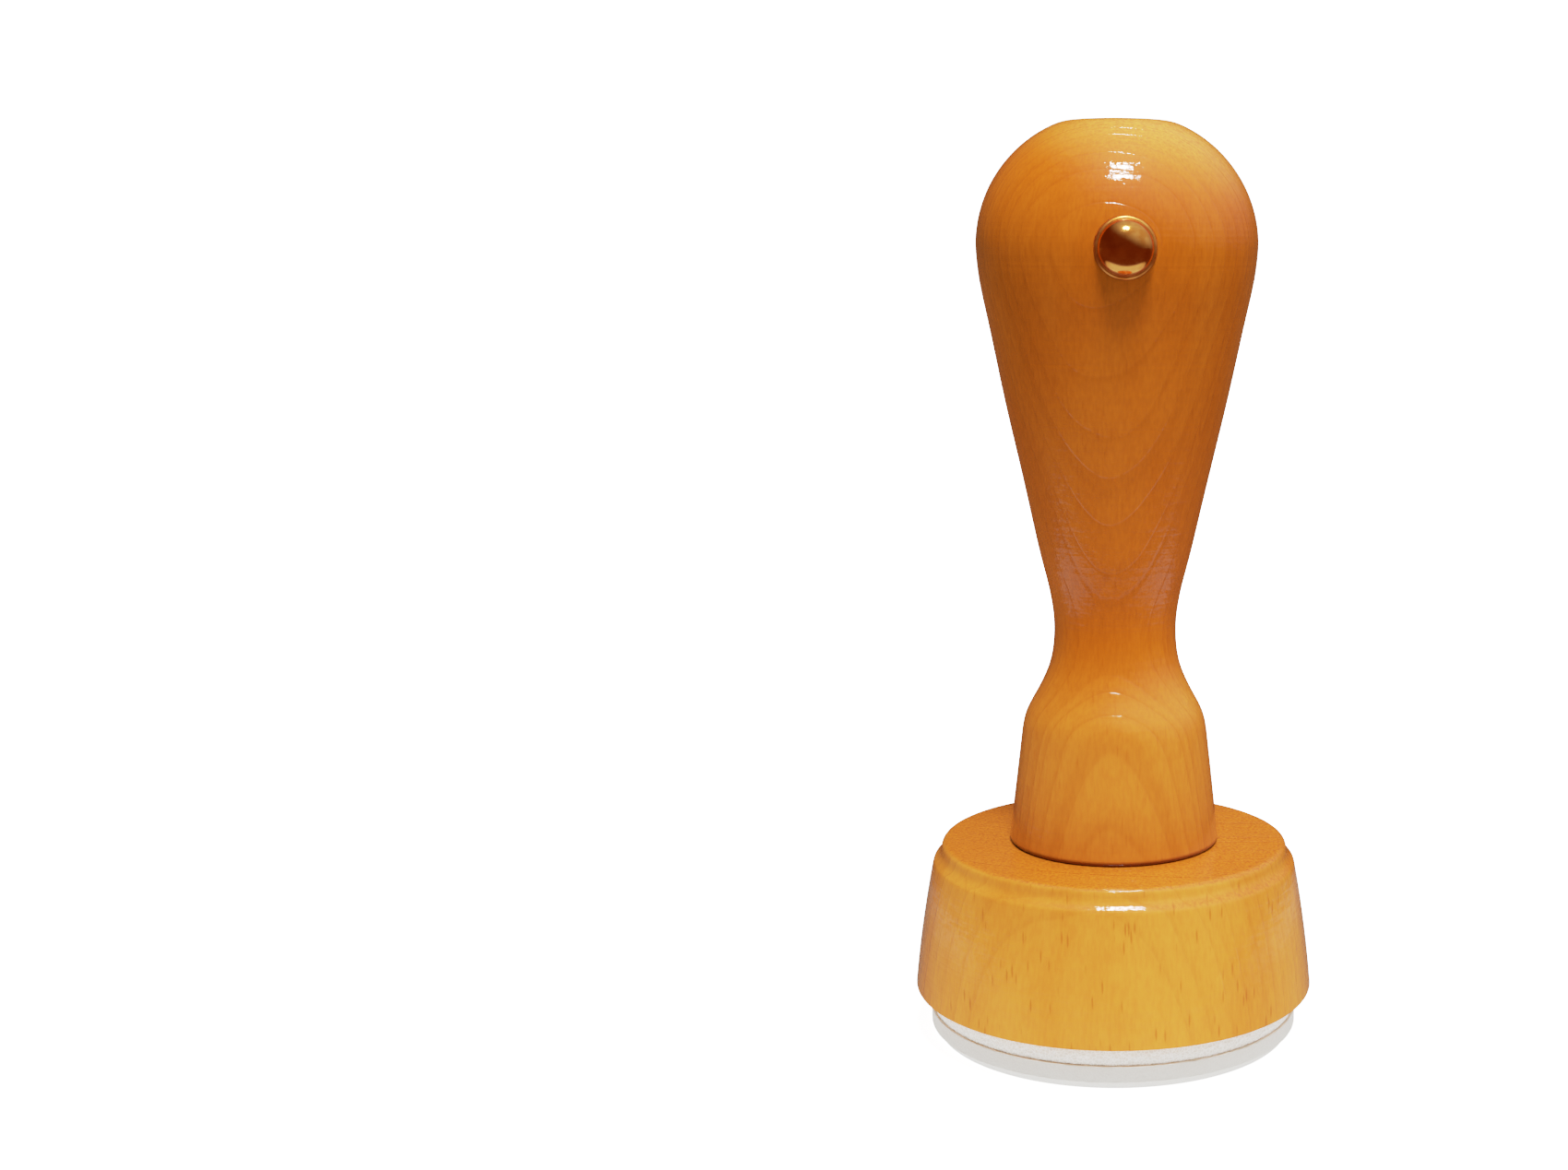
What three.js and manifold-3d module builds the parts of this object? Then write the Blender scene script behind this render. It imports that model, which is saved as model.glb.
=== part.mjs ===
// Round hand stamp: a turned beech handle with a brass orientation marker, screwed and glued to a
// turned beech base, with a rubber die cushioned by foam under the base.
// Millimetres. The printing face lies on z = 0, Z is the axis of turning and the marker faces -Y.
import * as THREE from "three";
import { mergeVertices } from "three/addons/utils/BufferGeometryUtils.js";
import Module from "manifold-3d";

// Base
const BASE_DIAMETER = 40;
const BASE_HEIGHT = 14.8;
const BASE_WALL_TAPER = 1.83; // how much smaller the radius is at the top of the wall
const BASE_WALL_BOW = 0.17; // how far the wall bulges out at mid height
const BASE_COVE_HEIGHT = 1.85;
const BASE_COVE_WIDTH = 0.8;
const BASE_COVE_DEPTH = 0.2; // how hollow the cove is
const BASE_EDGE_ROUND = 0.35;

// Handle, with its levels counted from the face that sits on the base
const HANDLE_HEIGHT = 71.2;
const FOOT_DIAMETER = 20.9;
const FOOT_TOP_DIAMETER = 18.3;
const FOOT_HEIGHT = 12;
const FOOT_EDGE_ROUND = 0.4;
const NECK_DIAMETER = 12.06;
const NECK_LEVEL = 21.9;
const KNOB_DIAMETER = 27.34;
const DOME_ROUND = 12.6; // radius of the dome's outline
const CROWN_DIAMETER = 10.4; // where the dome ends and the nearly flat crown begins
const CROWN_RISE = 0.27;
const CROWN_FLAT_DIAMETER = 4.6;

// Spigot on the handle, glued into the base's socket, and the screw that pulls it down
const SPIGOT_DIAMETER = 10;
const SPIGOT_LENGTH = 8.4;
const SPIGOT_SIDE_GAP = 0.2;
const SPIGOT_END_GAP = 0.5;
const SCREW_DIAMETER = 4;
const SCREW_LENGTH = 25;
const SCREW_HEAD_DIAMETER = 7.6;
const SCREW_HEAD_HEIGHT = 2.2;
const SCREW_POINT_LENGTH = 3;
const SCREW_SUNK = 0.4; // how far the head lies below the underside of the base
const SCREW_GAP = 0.12;
const RECESS_SPAN = 3.6;
const RECESS_WIDTH = 0.8;
const RECESS_DEPTH = 1.5;

// Orientation marker: a brass dome with a thin flange, brazed to a steel nail
const MARKER_DIAMETER = 5.2;
const MARKER_HEIGHT = 1.9; // of the dome in front of its flange
const FLANGE_RIM = 0.3; // how far the flange stands out round the dome
const FLANGE_THICKNESS = 0.35;
const NAIL_DIAMETER = 1.4;
const NAIL_LENGTH = 10;
const NAIL_POINT_LENGTH = 2;
const NAIL_IN_HEAD = 1.2;
const NAIL_GAP = 0.1;
const MARKER_GAP = 0.12;

// Printing stack
const STACK_INSET = 1.5; // from the rim of the base to the edge of the rubber
const FILM_THICKNESS = 0.1;
const FOAM_THICKNESS = 2;
const DIE_THICKNESS = 2.3;
const RELIEF_DEPTH = 0.8;
const RELIEF_SHOULDER = 0.25; // how much wider the relief is at its root, on each side

// Printing pattern: three rings, a circle of dots and a plain rosette
const OUTER_RING_WIDTH = 0.7;
const OUTER_RING_INSET = 0.7;
const FINE_RING_WIDTH = 0.35;
const FINE_RING_SPACE = 0.7;
const DOT_COUNT = 24;
const DOT_DIAMETER = 1.3;
const DOT_SPACE = 0.75;
const PETAL_COUNT = 8;
const PETAL_WIDTH = 3.2;
const PETAL_SPACE = 0.9; // between the tips of the petals and the inner fine ring
const HUB_DIAMETER = 4.4;
const HUB_SPACE = 0.8; // between the hub and the inner tips of the petals

// Fineness of the turned surfaces; a multiple of four puts corners on both axes
const TURNED_SEGMENTS = 48;
const SMALL_SEGMENTS = 24;
const DOT_SEGMENTS = 10;

const baseRadius = BASE_DIAMETER / 2;
const knobRadius = KNOB_DIAMETER / 2;
const stackRadius = baseRadius - STACK_INSET;
const screwRadius = SCREW_DIAMETER / 2;
const headRadius = SCREW_HEAD_DIAMETER / 2;
const nailRadius = NAIL_DIAMETER / 2;

// Levels of the stack, from the printing face up
const lowerFilmLevel = DIE_THICKNESS;
const foamLevel = lowerFilmLevel + FILM_THICKNESS;
const upperFilmLevel = foamLevel + FOAM_THICKNESS;
const baseLevel = upperFilmLevel + FILM_THICKNESS;
const seatLevel = baseLevel + BASE_HEIGHT;

// The dome springs from the widest level and ends at the edge of the crown.
const crownRadius = CROWN_DIAMETER / 2;
const domeCentreRadius = knobRadius - DOME_ROUND;
const domeEndAngle = Math.acos((crownRadius - domeCentreRadius) / DOME_ROUND);
const knobLevel = HANDLE_HEIGHT - CROWN_RISE - DOME_ROUND * Math.sin(domeEndAngle);

const wasm = await Module();
wasm.setup();

const point = (radius, level) => new THREE.Vector2(radius, level);

// A round stretch of an outline, about a centre, between two angles counted from outwards to up.
function arc(centreRadius, centreLevel, radius, from, to, steps) {
  const points = [];
  for (let i = 0; i <= steps; i++) {
    const angle = from + ((to - from) * i) / steps;
    points.push(
      point(centreRadius + radius * Math.cos(angle), centreLevel + radius * Math.sin(angle)),
    );
  }
  return points;
}

// A shallow circular bow between two points: out from the axis if bulge is positive, in if negative.
function bow(start, end, bulge, steps) {
  const side = point(end.y - start.y, start.x - end.x).normalize();
  const points = [];
  for (let i = 0; i <= steps; i++) {
    const share = i / steps;
    const lift = bulge * 4 * share * (1 - share);
    points.push(start.clone().lerp(end, share).addScaledVector(side, lift));
  }
  return points;
}

// A body of revolution about Z; its outline runs up the outside.
function turned(outline, segments = TURNED_SEGMENTS) {
  return new THREE.LatheGeometry(outline, segments).rotateX(Math.PI / 2);
}

function disc(radius, bottom, top, segments = TURNED_SEGMENTS) {
  return turned([point(0, bottom), point(radius, bottom), point(radius, top), point(0, top)], segments);
}

function solid(geometry) {
  const bare = new THREE.BufferGeometry();
  bare.setAttribute("position", geometry.getAttribute("position"));
  bare.setIndex(geometry.index);
  const merged = mergeVertices(bare, 1e-4);
  return new wasm.Manifold(
    new wasm.Mesh({
      numProp: 3,
      vertProperties: merged.getAttribute("position").array,
      triVerts: new Uint32Array(merged.index.array),
    }),
  );
}

function shape(manifold) {
  const mesh = manifold.getMesh();
  const geometry = new THREE.BufferGeometry();
  geometry.setAttribute("position", new THREE.BufferAttribute(mesh.vertProperties, 3));
  geometry.setIndex(new THREE.BufferAttribute(mesh.triVerts, 1));
  geometry.computeVertexNormals();
  return geometry;
}

function piece(name, geometry, color, roughness, metalness = 0) {
  const mesh = new THREE.Mesh(
    geometry,
    new THREE.MeshStandardMaterial({ color, roughness, metalness }),
  );
  mesh.name = name;
  return mesh;
}

// The outline runs from the shoulder through the neck to the widest level, hollow at the neck.
// Each pair is a share of the level between two of those, then a share of their step in radius.
const HOLLOW = [
  [0.14, 0.87],
  [0.4, 0.42],
  [0.66, 0.1],
];
const SWELL = [
  [0.09, 0.055],
  [0.2, 0.19],
  [0.37, 0.375],
  [0.57, 0.6],
  [0.77, 0.805],
  [0.91, 0.95],
];

function waist() {
  const neck = NECK_DIAMETER / 2;
  const shoulder = FOOT_TOP_DIAMETER / 2;
  const below = NECK_LEVEL - FOOT_HEIGHT;
  const above = knobLevel - NECK_LEVEL;
  const controls = [
    point(shoulder, FOOT_HEIGHT),
    ...HOLLOW.map(([rise, spread]) =>
      point(neck + (shoulder - neck) * spread, FOOT_HEIGHT + below * rise),
    ),
    point(neck, NECK_LEVEL),
    ...SWELL.map(([rise, spread]) =>
      point(neck + (knobRadius - neck) * spread, NECK_LEVEL + above * rise),
    ),
    point(knobRadius, knobLevel),
  ];
  return new THREE.SplineCurve(controls).getPoints(24);
}

// The marker's seat is a flat spot as deep as the flange, cut where the knob is widest.
const flangeRadius = MARKER_DIAMETER / 2 + FLANGE_RIM;
const seatRadius = flangeRadius + MARKER_GAP;
const spotDepth = knobRadius - Math.sqrt(knobRadius ** 2 - seatRadius ** 2);
const spotFace = knobRadius - spotDepth - MARKER_GAP; // distance of the spot's floor from the axis
const flangeBack = spotFace + MARKER_GAP / 2;

// Turns a piece made along Z so that its +Z end points to the front, -Y.
function facingFront(geometry) {
  return geometry.rotateX(Math.PI / 2);
}

function makeHandle() {
  const footRadius = FOOT_DIAMETER / 2;
  const spigotRadius = SPIGOT_DIAMETER / 2;
  const pilotRadius = screwRadius + SCREW_GAP;
  const pilotTop = SCREW_SUNK + SCREW_LENGTH - BASE_HEIGHT + SCREW_GAP;
  const outline = [
    point(0, pilotTop),
    point(pilotRadius, pilotTop - SCREW_POINT_LENGTH / 2),
    point(pilotRadius, -SPIGOT_LENGTH),
    point(spigotRadius, -SPIGOT_LENGTH),
    point(spigotRadius, 0),
    ...arc(footRadius - FOOT_EDGE_ROUND, FOOT_EDGE_ROUND, FOOT_EDGE_ROUND, -Math.PI / 2, 0, 3),
    ...waist(),
    ...arc(domeCentreRadius, knobLevel, DOME_ROUND, 0, domeEndAngle, 10).slice(1),
    point(CROWN_FLAT_DIAMETER / 2, HANDLE_HEIGHT),
    point(0, HANDLE_HEIGHT),
  ];
  const holeEnd = flangeBack - NAIL_LENGTH - NAIL_GAP;
  const nailHole = disc(nailRadius + NAIL_GAP, holeEnd, knobRadius, SMALL_SEGMENTS);
  const spot = disc(seatRadius, spotFace, knobRadius + FLANGE_THICKNESS, SMALL_SEGMENTS);
  const cut = solid(facingFront(nailHole)).add(solid(facingFront(spot)));
  const drilled = solid(turned(outline)).subtract(cut.translate([0, 0, knobLevel]));
  const handle = piece("handle", shape(drilled), 0xbd6a17, 0.38);
  handle.position.z = seatLevel;
  return handle;
}

function makeMarker() {
  const front = FLANGE_THICKNESS;
  const boreRadius = nailRadius + NAIL_GAP;
  const flattening = MARKER_HEIGHT / (MARKER_DIAMETER / 2);
  const quarter = arc(0, 0, MARKER_DIAMETER / 2, 0, Math.PI / 2, 10);
  const dome = quarter.map((p) => point(p.x, front + p.y * flattening));
  const headOutline = [
    point(0, NAIL_IN_HEAD + NAIL_GAP),
    point(boreRadius, NAIL_IN_HEAD + NAIL_GAP),
    point(boreRadius, 0),
    point(flangeRadius, 0),
    point(flangeRadius, front / 2),
    point(flangeRadius - front / 2, front),
    ...dome,
  ];
  const nailOutline = [
    point(0, -NAIL_LENGTH),
    point(nailRadius, NAIL_POINT_LENGTH - NAIL_LENGTH),
    point(nailRadius, NAIL_IN_HEAD),
    point(0, NAIL_IN_HEAD),
  ];
  const marker = new THREE.Group();
  marker.add(
    piece("marker_head", facingFront(turned(headOutline, SMALL_SEGMENTS)), 0xb8862e, 0.18, 1),
    piece("marker_nail", facingFront(turned(nailOutline, SMALL_SEGMENTS)), 0x9a9a98, 0.35, 1),
  );
  marker.position.set(0, -flangeBack, seatLevel + knobLevel);
  return marker;
}

function makeBase() {
  const wallTop = BASE_HEIGHT - BASE_COVE_HEIGHT;
  const wallTopRadius = baseRadius - BASE_WALL_TAPER;
  const lipRadius = wallTopRadius - BASE_COVE_WIDTH;
  const socketRadius = SPIGOT_DIAMETER / 2 + SPIGOT_SIDE_GAP;
  const socketFloor = BASE_HEIGHT - SPIGOT_LENGTH - SPIGOT_END_GAP;
  const holeRadius = screwRadius + SCREW_GAP;
  const sinkRadius = headRadius + SCREW_GAP;
  const sinkTop = SCREW_SUNK + SCREW_HEAD_HEIGHT;
  const lipCentre = point(lipRadius - BASE_EDGE_ROUND, BASE_HEIGHT - BASE_EDGE_ROUND);
  const lip = arc(lipCentre.x, lipCentre.y, BASE_EDGE_ROUND, 0, Math.PI / 2, 3);
  const outline = [
    point(sinkRadius, 0),
    ...bow(point(baseRadius, 0), point(wallTopRadius, wallTop), BASE_WALL_BOW, 6),
    ...bow(point(wallTopRadius, wallTop), lip[0], -BASE_COVE_DEPTH, 4).slice(1),
    ...lip.slice(1),
    point(socketRadius, BASE_HEIGHT),
    point(socketRadius, socketFloor),
    point(holeRadius, socketFloor),
    point(holeRadius, sinkTop),
    point(sinkRadius, SCREW_SUNK),
    point(sinkRadius, 0),
  ];
  const base = piece("base", turned(outline), 0xdd9c3c, 0.4);
  base.position.z = baseLevel;
  return base;
}

function makeScrew() {
  const outline = [
    point(0, 0),
    point(headRadius, 0),
    point(screwRadius, SCREW_HEAD_HEIGHT),
    point(screwRadius, SCREW_LENGTH - SCREW_POINT_LENGTH),
    point(0, SCREW_LENGTH),
  ];
  const slot = new THREE.BoxGeometry(RECESS_SPAN, RECESS_WIDTH, 2 * RECESS_DEPTH);
  const cross = solid(slot).add(solid(slot.clone().rotateZ(Math.PI / 2)));
  const screw = piece(
    "assembly_screw",
    shape(solid(turned(outline, SMALL_SEGMENTS)).subtract(cross)),
    0xb9b4a6,
    0.35,
    1,
  );
  screw.position.z = baseLevel + SCREW_SUNK;
  return screw;
}

function makeLayer(name, level, thickness, color, roughness) {
  const layer = piece(name, disc(stackRadius, 0, thickness), color, roughness);
  layer.position.z = level;
  return layer;
}

// A raised ring of the relief, given by the radius of its outer edge and its printing width.
function reliefRing(outerRadius, width) {
  const innerRadius = outerRadius - width;
  const outline = [
    point(innerRadius, 0),
    point(outerRadius, 0),
    point(outerRadius + RELIEF_SHOULDER, RELIEF_DEPTH),
    point(innerRadius - RELIEF_SHOULDER, RELIEF_DEPTH),
    point(innerRadius, 0),
  ];
  return solid(turned(outline));
}

function reliefPeg(diameter, segments) {
  const radius = diameter / 2;
  const outline = [
    point(0, 0),
    point(radius, 0),
    point(radius + RELIEF_SHOULDER, RELIEF_DEPTH),
    point(0, RELIEF_DEPTH),
  ];
  return solid(turned(outline, segments));
}

// One lens-shaped petal along +X, between two radii; each side is one circular arc.
function reliefPetal(innerRadius, outerRadius) {
  const halfLength = (outerRadius - innerRadius) / 2;
  const halfWidth = PETAL_WIDTH / 2;
  const sideRadius = (halfLength ** 2 + halfWidth ** 2) / (2 * halfWidth);
  const sideAngle = Math.asin(halfLength / sideRadius);
  const middle = (innerRadius + outerRadius) / 2;
  const offset = sideRadius - halfWidth;
  const lens = new THREE.Shape();
  lens.absarc(middle, -offset, sideRadius, Math.PI / 2 - sideAngle, Math.PI / 2 + sideAngle, false);
  lens.absarc(middle, offset, sideRadius, -Math.PI / 2 - sideAngle, -Math.PI / 2 + sideAngle, false);
  const settings = { depth: RELIEF_DEPTH, bevelEnabled: false, curveSegments: 6 };
  return solid(new THREE.ExtrudeGeometry(lens, settings));
}

function makeDie() {
  const outerRing = stackRadius - OUTER_RING_INSET;
  const fineRing = outerRing - OUTER_RING_WIDTH - FINE_RING_SPACE;
  const dotCircle = fineRing - FINE_RING_WIDTH - DOT_SPACE - DOT_DIAMETER / 2;
  const innerRing = dotCircle - DOT_DIAMETER / 2 - DOT_SPACE;
  const petalTip = innerRing - FINE_RING_WIDTH - PETAL_SPACE;
  const petalRoot = HUB_DIAMETER / 2 + HUB_SPACE;
  let relief = solid(disc(stackRadius, RELIEF_DEPTH, DIE_THICKNESS))
    .add(reliefRing(outerRing, OUTER_RING_WIDTH))
    .add(reliefRing(fineRing, FINE_RING_WIDTH))
    .add(reliefRing(innerRing, FINE_RING_WIDTH))
    .add(reliefPeg(HUB_DIAMETER, SMALL_SEGMENTS));
  for (let i = 0; i < DOT_COUNT; i++) {
    const angle = (2 * Math.PI * i) / DOT_COUNT;
    const place = [dotCircle * Math.cos(angle), dotCircle * Math.sin(angle), 0];
    relief = relief.add(reliefPeg(DOT_DIAMETER, DOT_SEGMENTS).translate(place));
  }
  for (let i = 0; i < PETAL_COUNT; i++) {
    relief = relief.add(reliefPetal(petalRoot, petalTip).rotate([0, 0, (360 * i) / PETAL_COUNT]));
  }
  return piece("rubber_die", shape(relief), 0xb4b2ad, 0.75);
}

const stamp = new THREE.Group();
stamp.add(
  makeHandle(),
  makeMarker(),
  makeBase(),
  makeScrew(),
  makeLayer("upper_adhesive_film", upperFilmLevel, FILM_THICKNESS, 0xe9e6dc, 0.5),
  makeLayer("cushion_foam", foamLevel, FOAM_THICKNESS, 0xf0eee8, 0.9),
  makeLayer("lower_adhesive_film", lowerFilmLevel, FILM_THICKNESS, 0xe9e6dc, 0.5),
  makeDie(),
);

export default stamp;
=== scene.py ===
import math

import bmesh
import bpy
from mathutils import Matrix, Vector, noise


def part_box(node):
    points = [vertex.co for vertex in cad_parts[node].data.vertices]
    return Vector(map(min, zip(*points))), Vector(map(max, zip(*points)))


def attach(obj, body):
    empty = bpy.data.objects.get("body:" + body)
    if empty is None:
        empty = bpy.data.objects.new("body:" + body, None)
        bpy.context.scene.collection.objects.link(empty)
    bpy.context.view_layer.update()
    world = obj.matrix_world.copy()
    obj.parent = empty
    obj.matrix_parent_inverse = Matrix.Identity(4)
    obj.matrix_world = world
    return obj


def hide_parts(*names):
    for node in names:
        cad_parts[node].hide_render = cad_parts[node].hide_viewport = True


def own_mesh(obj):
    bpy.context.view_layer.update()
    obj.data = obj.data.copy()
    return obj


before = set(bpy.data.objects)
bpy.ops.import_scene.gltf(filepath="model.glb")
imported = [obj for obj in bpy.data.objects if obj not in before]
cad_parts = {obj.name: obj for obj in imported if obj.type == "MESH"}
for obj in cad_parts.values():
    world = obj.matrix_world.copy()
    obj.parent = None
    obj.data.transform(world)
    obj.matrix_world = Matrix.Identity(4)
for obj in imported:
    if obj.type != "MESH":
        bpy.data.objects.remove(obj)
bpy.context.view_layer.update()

# ---------------------------------------------------------------------------------------------
# Handle. One piece of steamed beech, turned between centres, sanded, and dipped in clear gloss
# lacquer. A spigot under the foot is glued into the base, and the knob is drilled for the marker.

MM = 0.001
CREASE_DEGREES = 32  # edges sharper than this stay sharp

handle_low, handle_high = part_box("handle")
base_low, base_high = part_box("base")
seat = base_high.z / MM  # level of the joint between handle and base

HANDLE_HEIGHT = handle_high.z / MM - seat
SPIGOT_LENGTH = seat - handle_low.z / MM
SPIGOT_RADIUS = 5.0
FOOT_RADIUS = 10.45
FOOT_TOP_RADIUS = 9.15
FOOT_HEIGHT = 12.0
FOOT_EDGE_ROUND = 0.4
SPIGOT_CHAMFER = 0.4
NECK_RADIUS = 6.03
NECK_LEVEL = 21.9
KNOB_RADIUS = handle_high.x / MM
DOME_ROUND = 12.6
CROWN_RADIUS = 5.2
CROWN_RISE = 0.27
PILOT_RADIUS = 2.12
PILOT_TOP = 10.72
PILOT_TIP = 1.5  # the drilled hole for the screw ends in a cone this long
OUTLINE_STEP = 0.4
SANDING_PASSES = 6

dome_centre = KNOB_RADIUS - DOME_ROUND
dome_end = math.acos((CROWN_RADIUS - dome_centre) / DOME_ROUND)
knob_level = HANDLE_HEIGHT - CROWN_RISE - DOME_ROUND * math.sin(dome_end)

# Shares of the way from shoulder to neck and from neck to knob: in level, then in radius.
HOLLOW = [(0.14, 0.87), (0.4, 0.42), (0.66, 0.1)]
SWELL = [(0.09, 0.055), (0.2, 0.19), (0.37, 0.375), (0.57, 0.6), (0.77, 0.805), (0.91, 0.95)]


def arc(centre_r, centre_z, radius, start, end, steps):
    """Points (r, z) on a round stretch of a turned outline; angles run from outwards to up."""
    angles = [start + (end - start) * i / steps for i in range(steps + 1)]
    return [(centre_r + radius * math.cos(a), centre_z + radius * math.sin(a)) for a in angles]


def smooth_curve(points, steps):
    """A curve through the points, with this many steps between two of them."""
    padded = [points[0], *points, points[-1]]
    made = [points[0]]
    for before, a, b, after in zip(padded, padded[1:], padded[2:], padded[3:]):
        for i in range(1, steps + 1):
            t = i / steps
            made.append(tuple(
                0.5 * (2 * a[k] + (b[k] - before[k]) * t
                       + (2 * before[k] - 5 * a[k] + 4 * b[k] - after[k]) * t * t
                       + (3 * a[k] - before[k] - 3 * b[k] + after[k]) * t ** 3)
                for k in (0, 1)
            ))
    return made


def respaced(points, step):
    """The same outline with its points a fixed step apart."""
    made = [points[0]]
    left = step
    for a, b in zip(points, points[1:]):
        length = math.dist(a, b)
        along = left
        while along < length:
            share = along / length
            made.append((a[0] + (b[0] - a[0]) * share, a[1] + (b[1] - a[1]) * share))
            along += step
        left = along - length
    made.append(points[-1])
    return made


def sanded(points, passes):
    """Rounds off an outline as sandpaper does, keeping its ends."""
    for _ in range(passes):
        inner = [
            tuple((p[k] + 2 * q[k] + s[k]) / 4 for k in (0, 1))
            for p, q, s in zip(points, points[1:], points[2:])
        ]
        points = [points[0], *inner, points[-1]]
    return points


def raised(points, lift):
    return [(r, z + lift) for r, z in points]


def turned(name, outline, segments, closed=False, uneven=0.0, patch=0.11):
    """A body of revolution about Z from an outline in millimetres that runs up the outside.
    An open outline starts and ends on the axis. uneven is how far the surface wanders, in mm,
    and patch how many times a millimetre it does."""
    bm = bmesh.new()
    rings = []
    for r, z in outline:
        if r < 1e-6:
            rings.append([bm.verts.new((0, 0, z * MM))])
            continue
        ring = []
        for i in range(segments):
            a = math.tau * i / segments
            spot = Vector((r * math.cos(a), r * math.sin(a), z))
            grown = r + uneven * noise.noise(spot * patch)
            ring.append(bm.verts.new(around_axis(grown, a, z)))
        rings.append(ring)
    bridge(bm, [*rings, rings[0]] if closed else rings, segments)
    return finished(name, bm)


def around_axis(r, angle, z):
    """The place, in metres, at a radius and a level in millimetres and an angle about Z."""
    return (r * math.cos(angle) * MM, r * math.sin(angle) * MM, z * MM)


def bridge(bm, rings, segments):
    """Adds the faces between each ring of vertices and the next; one vertex alone is a tip."""
    for low, high in zip(rings, rings[1:]):
        for i in range(segments):
            j = (i + 1) % segments
            corners = [low[i % len(low)], low[j % len(low)], high[j % len(high)], high[i % len(high)]]
            corners = list(dict.fromkeys(corners))
            if len(corners) > 2:
                bm.faces.new(corners)


def finished(name, bm, crease_degrees=CREASE_DEGREES):
    """Puts a mesh in the scene, shaded smooth except at its sharp edges."""
    mesh = bpy.data.meshes.new(name)
    bm.to_mesh(mesh)
    bm.free()
    mesh.shade_smooth()
    mesh.set_sharp_from_angle(angle=math.radians(crease_degrees))
    piece = bpy.data.objects.new(name, mesh)
    bpy.context.scene.collection.objects.link(piece)
    return piece


def bored(piece, cutters):
    """Cuts each cutter out of the piece, as a drill does, and throws the cutters away."""
    for cutter in cutters:
        cut = piece.modifiers.new("cut", "BOOLEAN")
        cut.operation = "DIFFERENCE"
        cut.solver = "EXACT"
        cut.object = cutter
    bpy.context.view_layer.update()
    shown = piece.evaluated_get(bpy.context.evaluated_depsgraph_get())
    mesh = bpy.data.meshes.new_from_object(shown)
    piece.modifiers.clear()
    piece.data = mesh
    mesh.set_sharp_from_angle(angle=math.radians(CREASE_DEGREES))
    for cutter in cutters:
        bpy.data.objects.remove(cutter)
    return piece


def colour(hex_code):
    """An sRGB hex colour as the linear values that a shader takes."""
    parts = [int(hex_code[i:i + 2], 16) / 255 for i in (1, 3, 5)]
    return (*[c / 12.92 if c <= 0.04045 else ((c + 0.055) / 1.055) ** 2.4 for c in parts], 1)


def add(tree, kind, inputs=None, **settings):
    """Adds one shader node; an input's value is a number, a colour or another node's output."""
    made = tree.nodes.new(kind)
    for key, value in settings.items():
        setattr(made, key, value)
    for key, value in (inputs or {}).items():
        if isinstance(value, bpy.types.NodeSocket):
            tree.links.new(value, made.inputs[key])
        else:
            made.inputs[key].default_value = value
    return made


def shade_steps(ramp_node, steps, interpolation="EASE"):
    """Sets a colour ramp's stops from (place, grey or colour) pairs."""
    ramp = ramp_node.color_ramp
    ramp.interpolation = interpolation
    while len(ramp.elements) > 1:
        ramp.elements.remove(ramp.elements[-1])
    for i, (place, value) in enumerate(steps):
        stop = ramp.elements[0] if i == 0 else ramp.elements.new(place)
        stop.position = place
        stop.color = value if isinstance(value, tuple) else (value, value, value, 1)
    return ramp_node.outputs["Color"]


def new_material(name):
    """A material with no nodes yet; returns it and its node tree."""
    made = bpy.data.materials.new(name)
    made.use_nodes = True
    tree = made.node_tree
    tree.nodes.clear()
    return made, tree


def in_millimetres(tree):
    """The place on the piece that is being shaded, in millimetres."""
    place = add(tree, "ShaderNodeTexCoord").outputs["Object"]
    return add(tree, "ShaderNodeVectorMath", {0: place, 1: (1000, 1000, 1000)},
               operation="MULTIPLY").outputs[0]


def patches(tree, place, per_mm, detail, roughness=0.5):
    """A noise with this many patches to the millimetre along X, Y and Z."""
    grid = add(tree, "ShaderNodeVectorMath", {0: place, 1: per_mm}, operation="MULTIPLY").outputs[0]
    return add(tree, "ShaderNodeTexNoise",
               {"Vector": grid, "Scale": 1.0, "Detail": detail, "Roughness": roughness})


# Places of the factor, the two colours and the result on a colour Mix node.
MIX, FIRST, SECOND, MIXED = 0, 6, 7, 2


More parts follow.
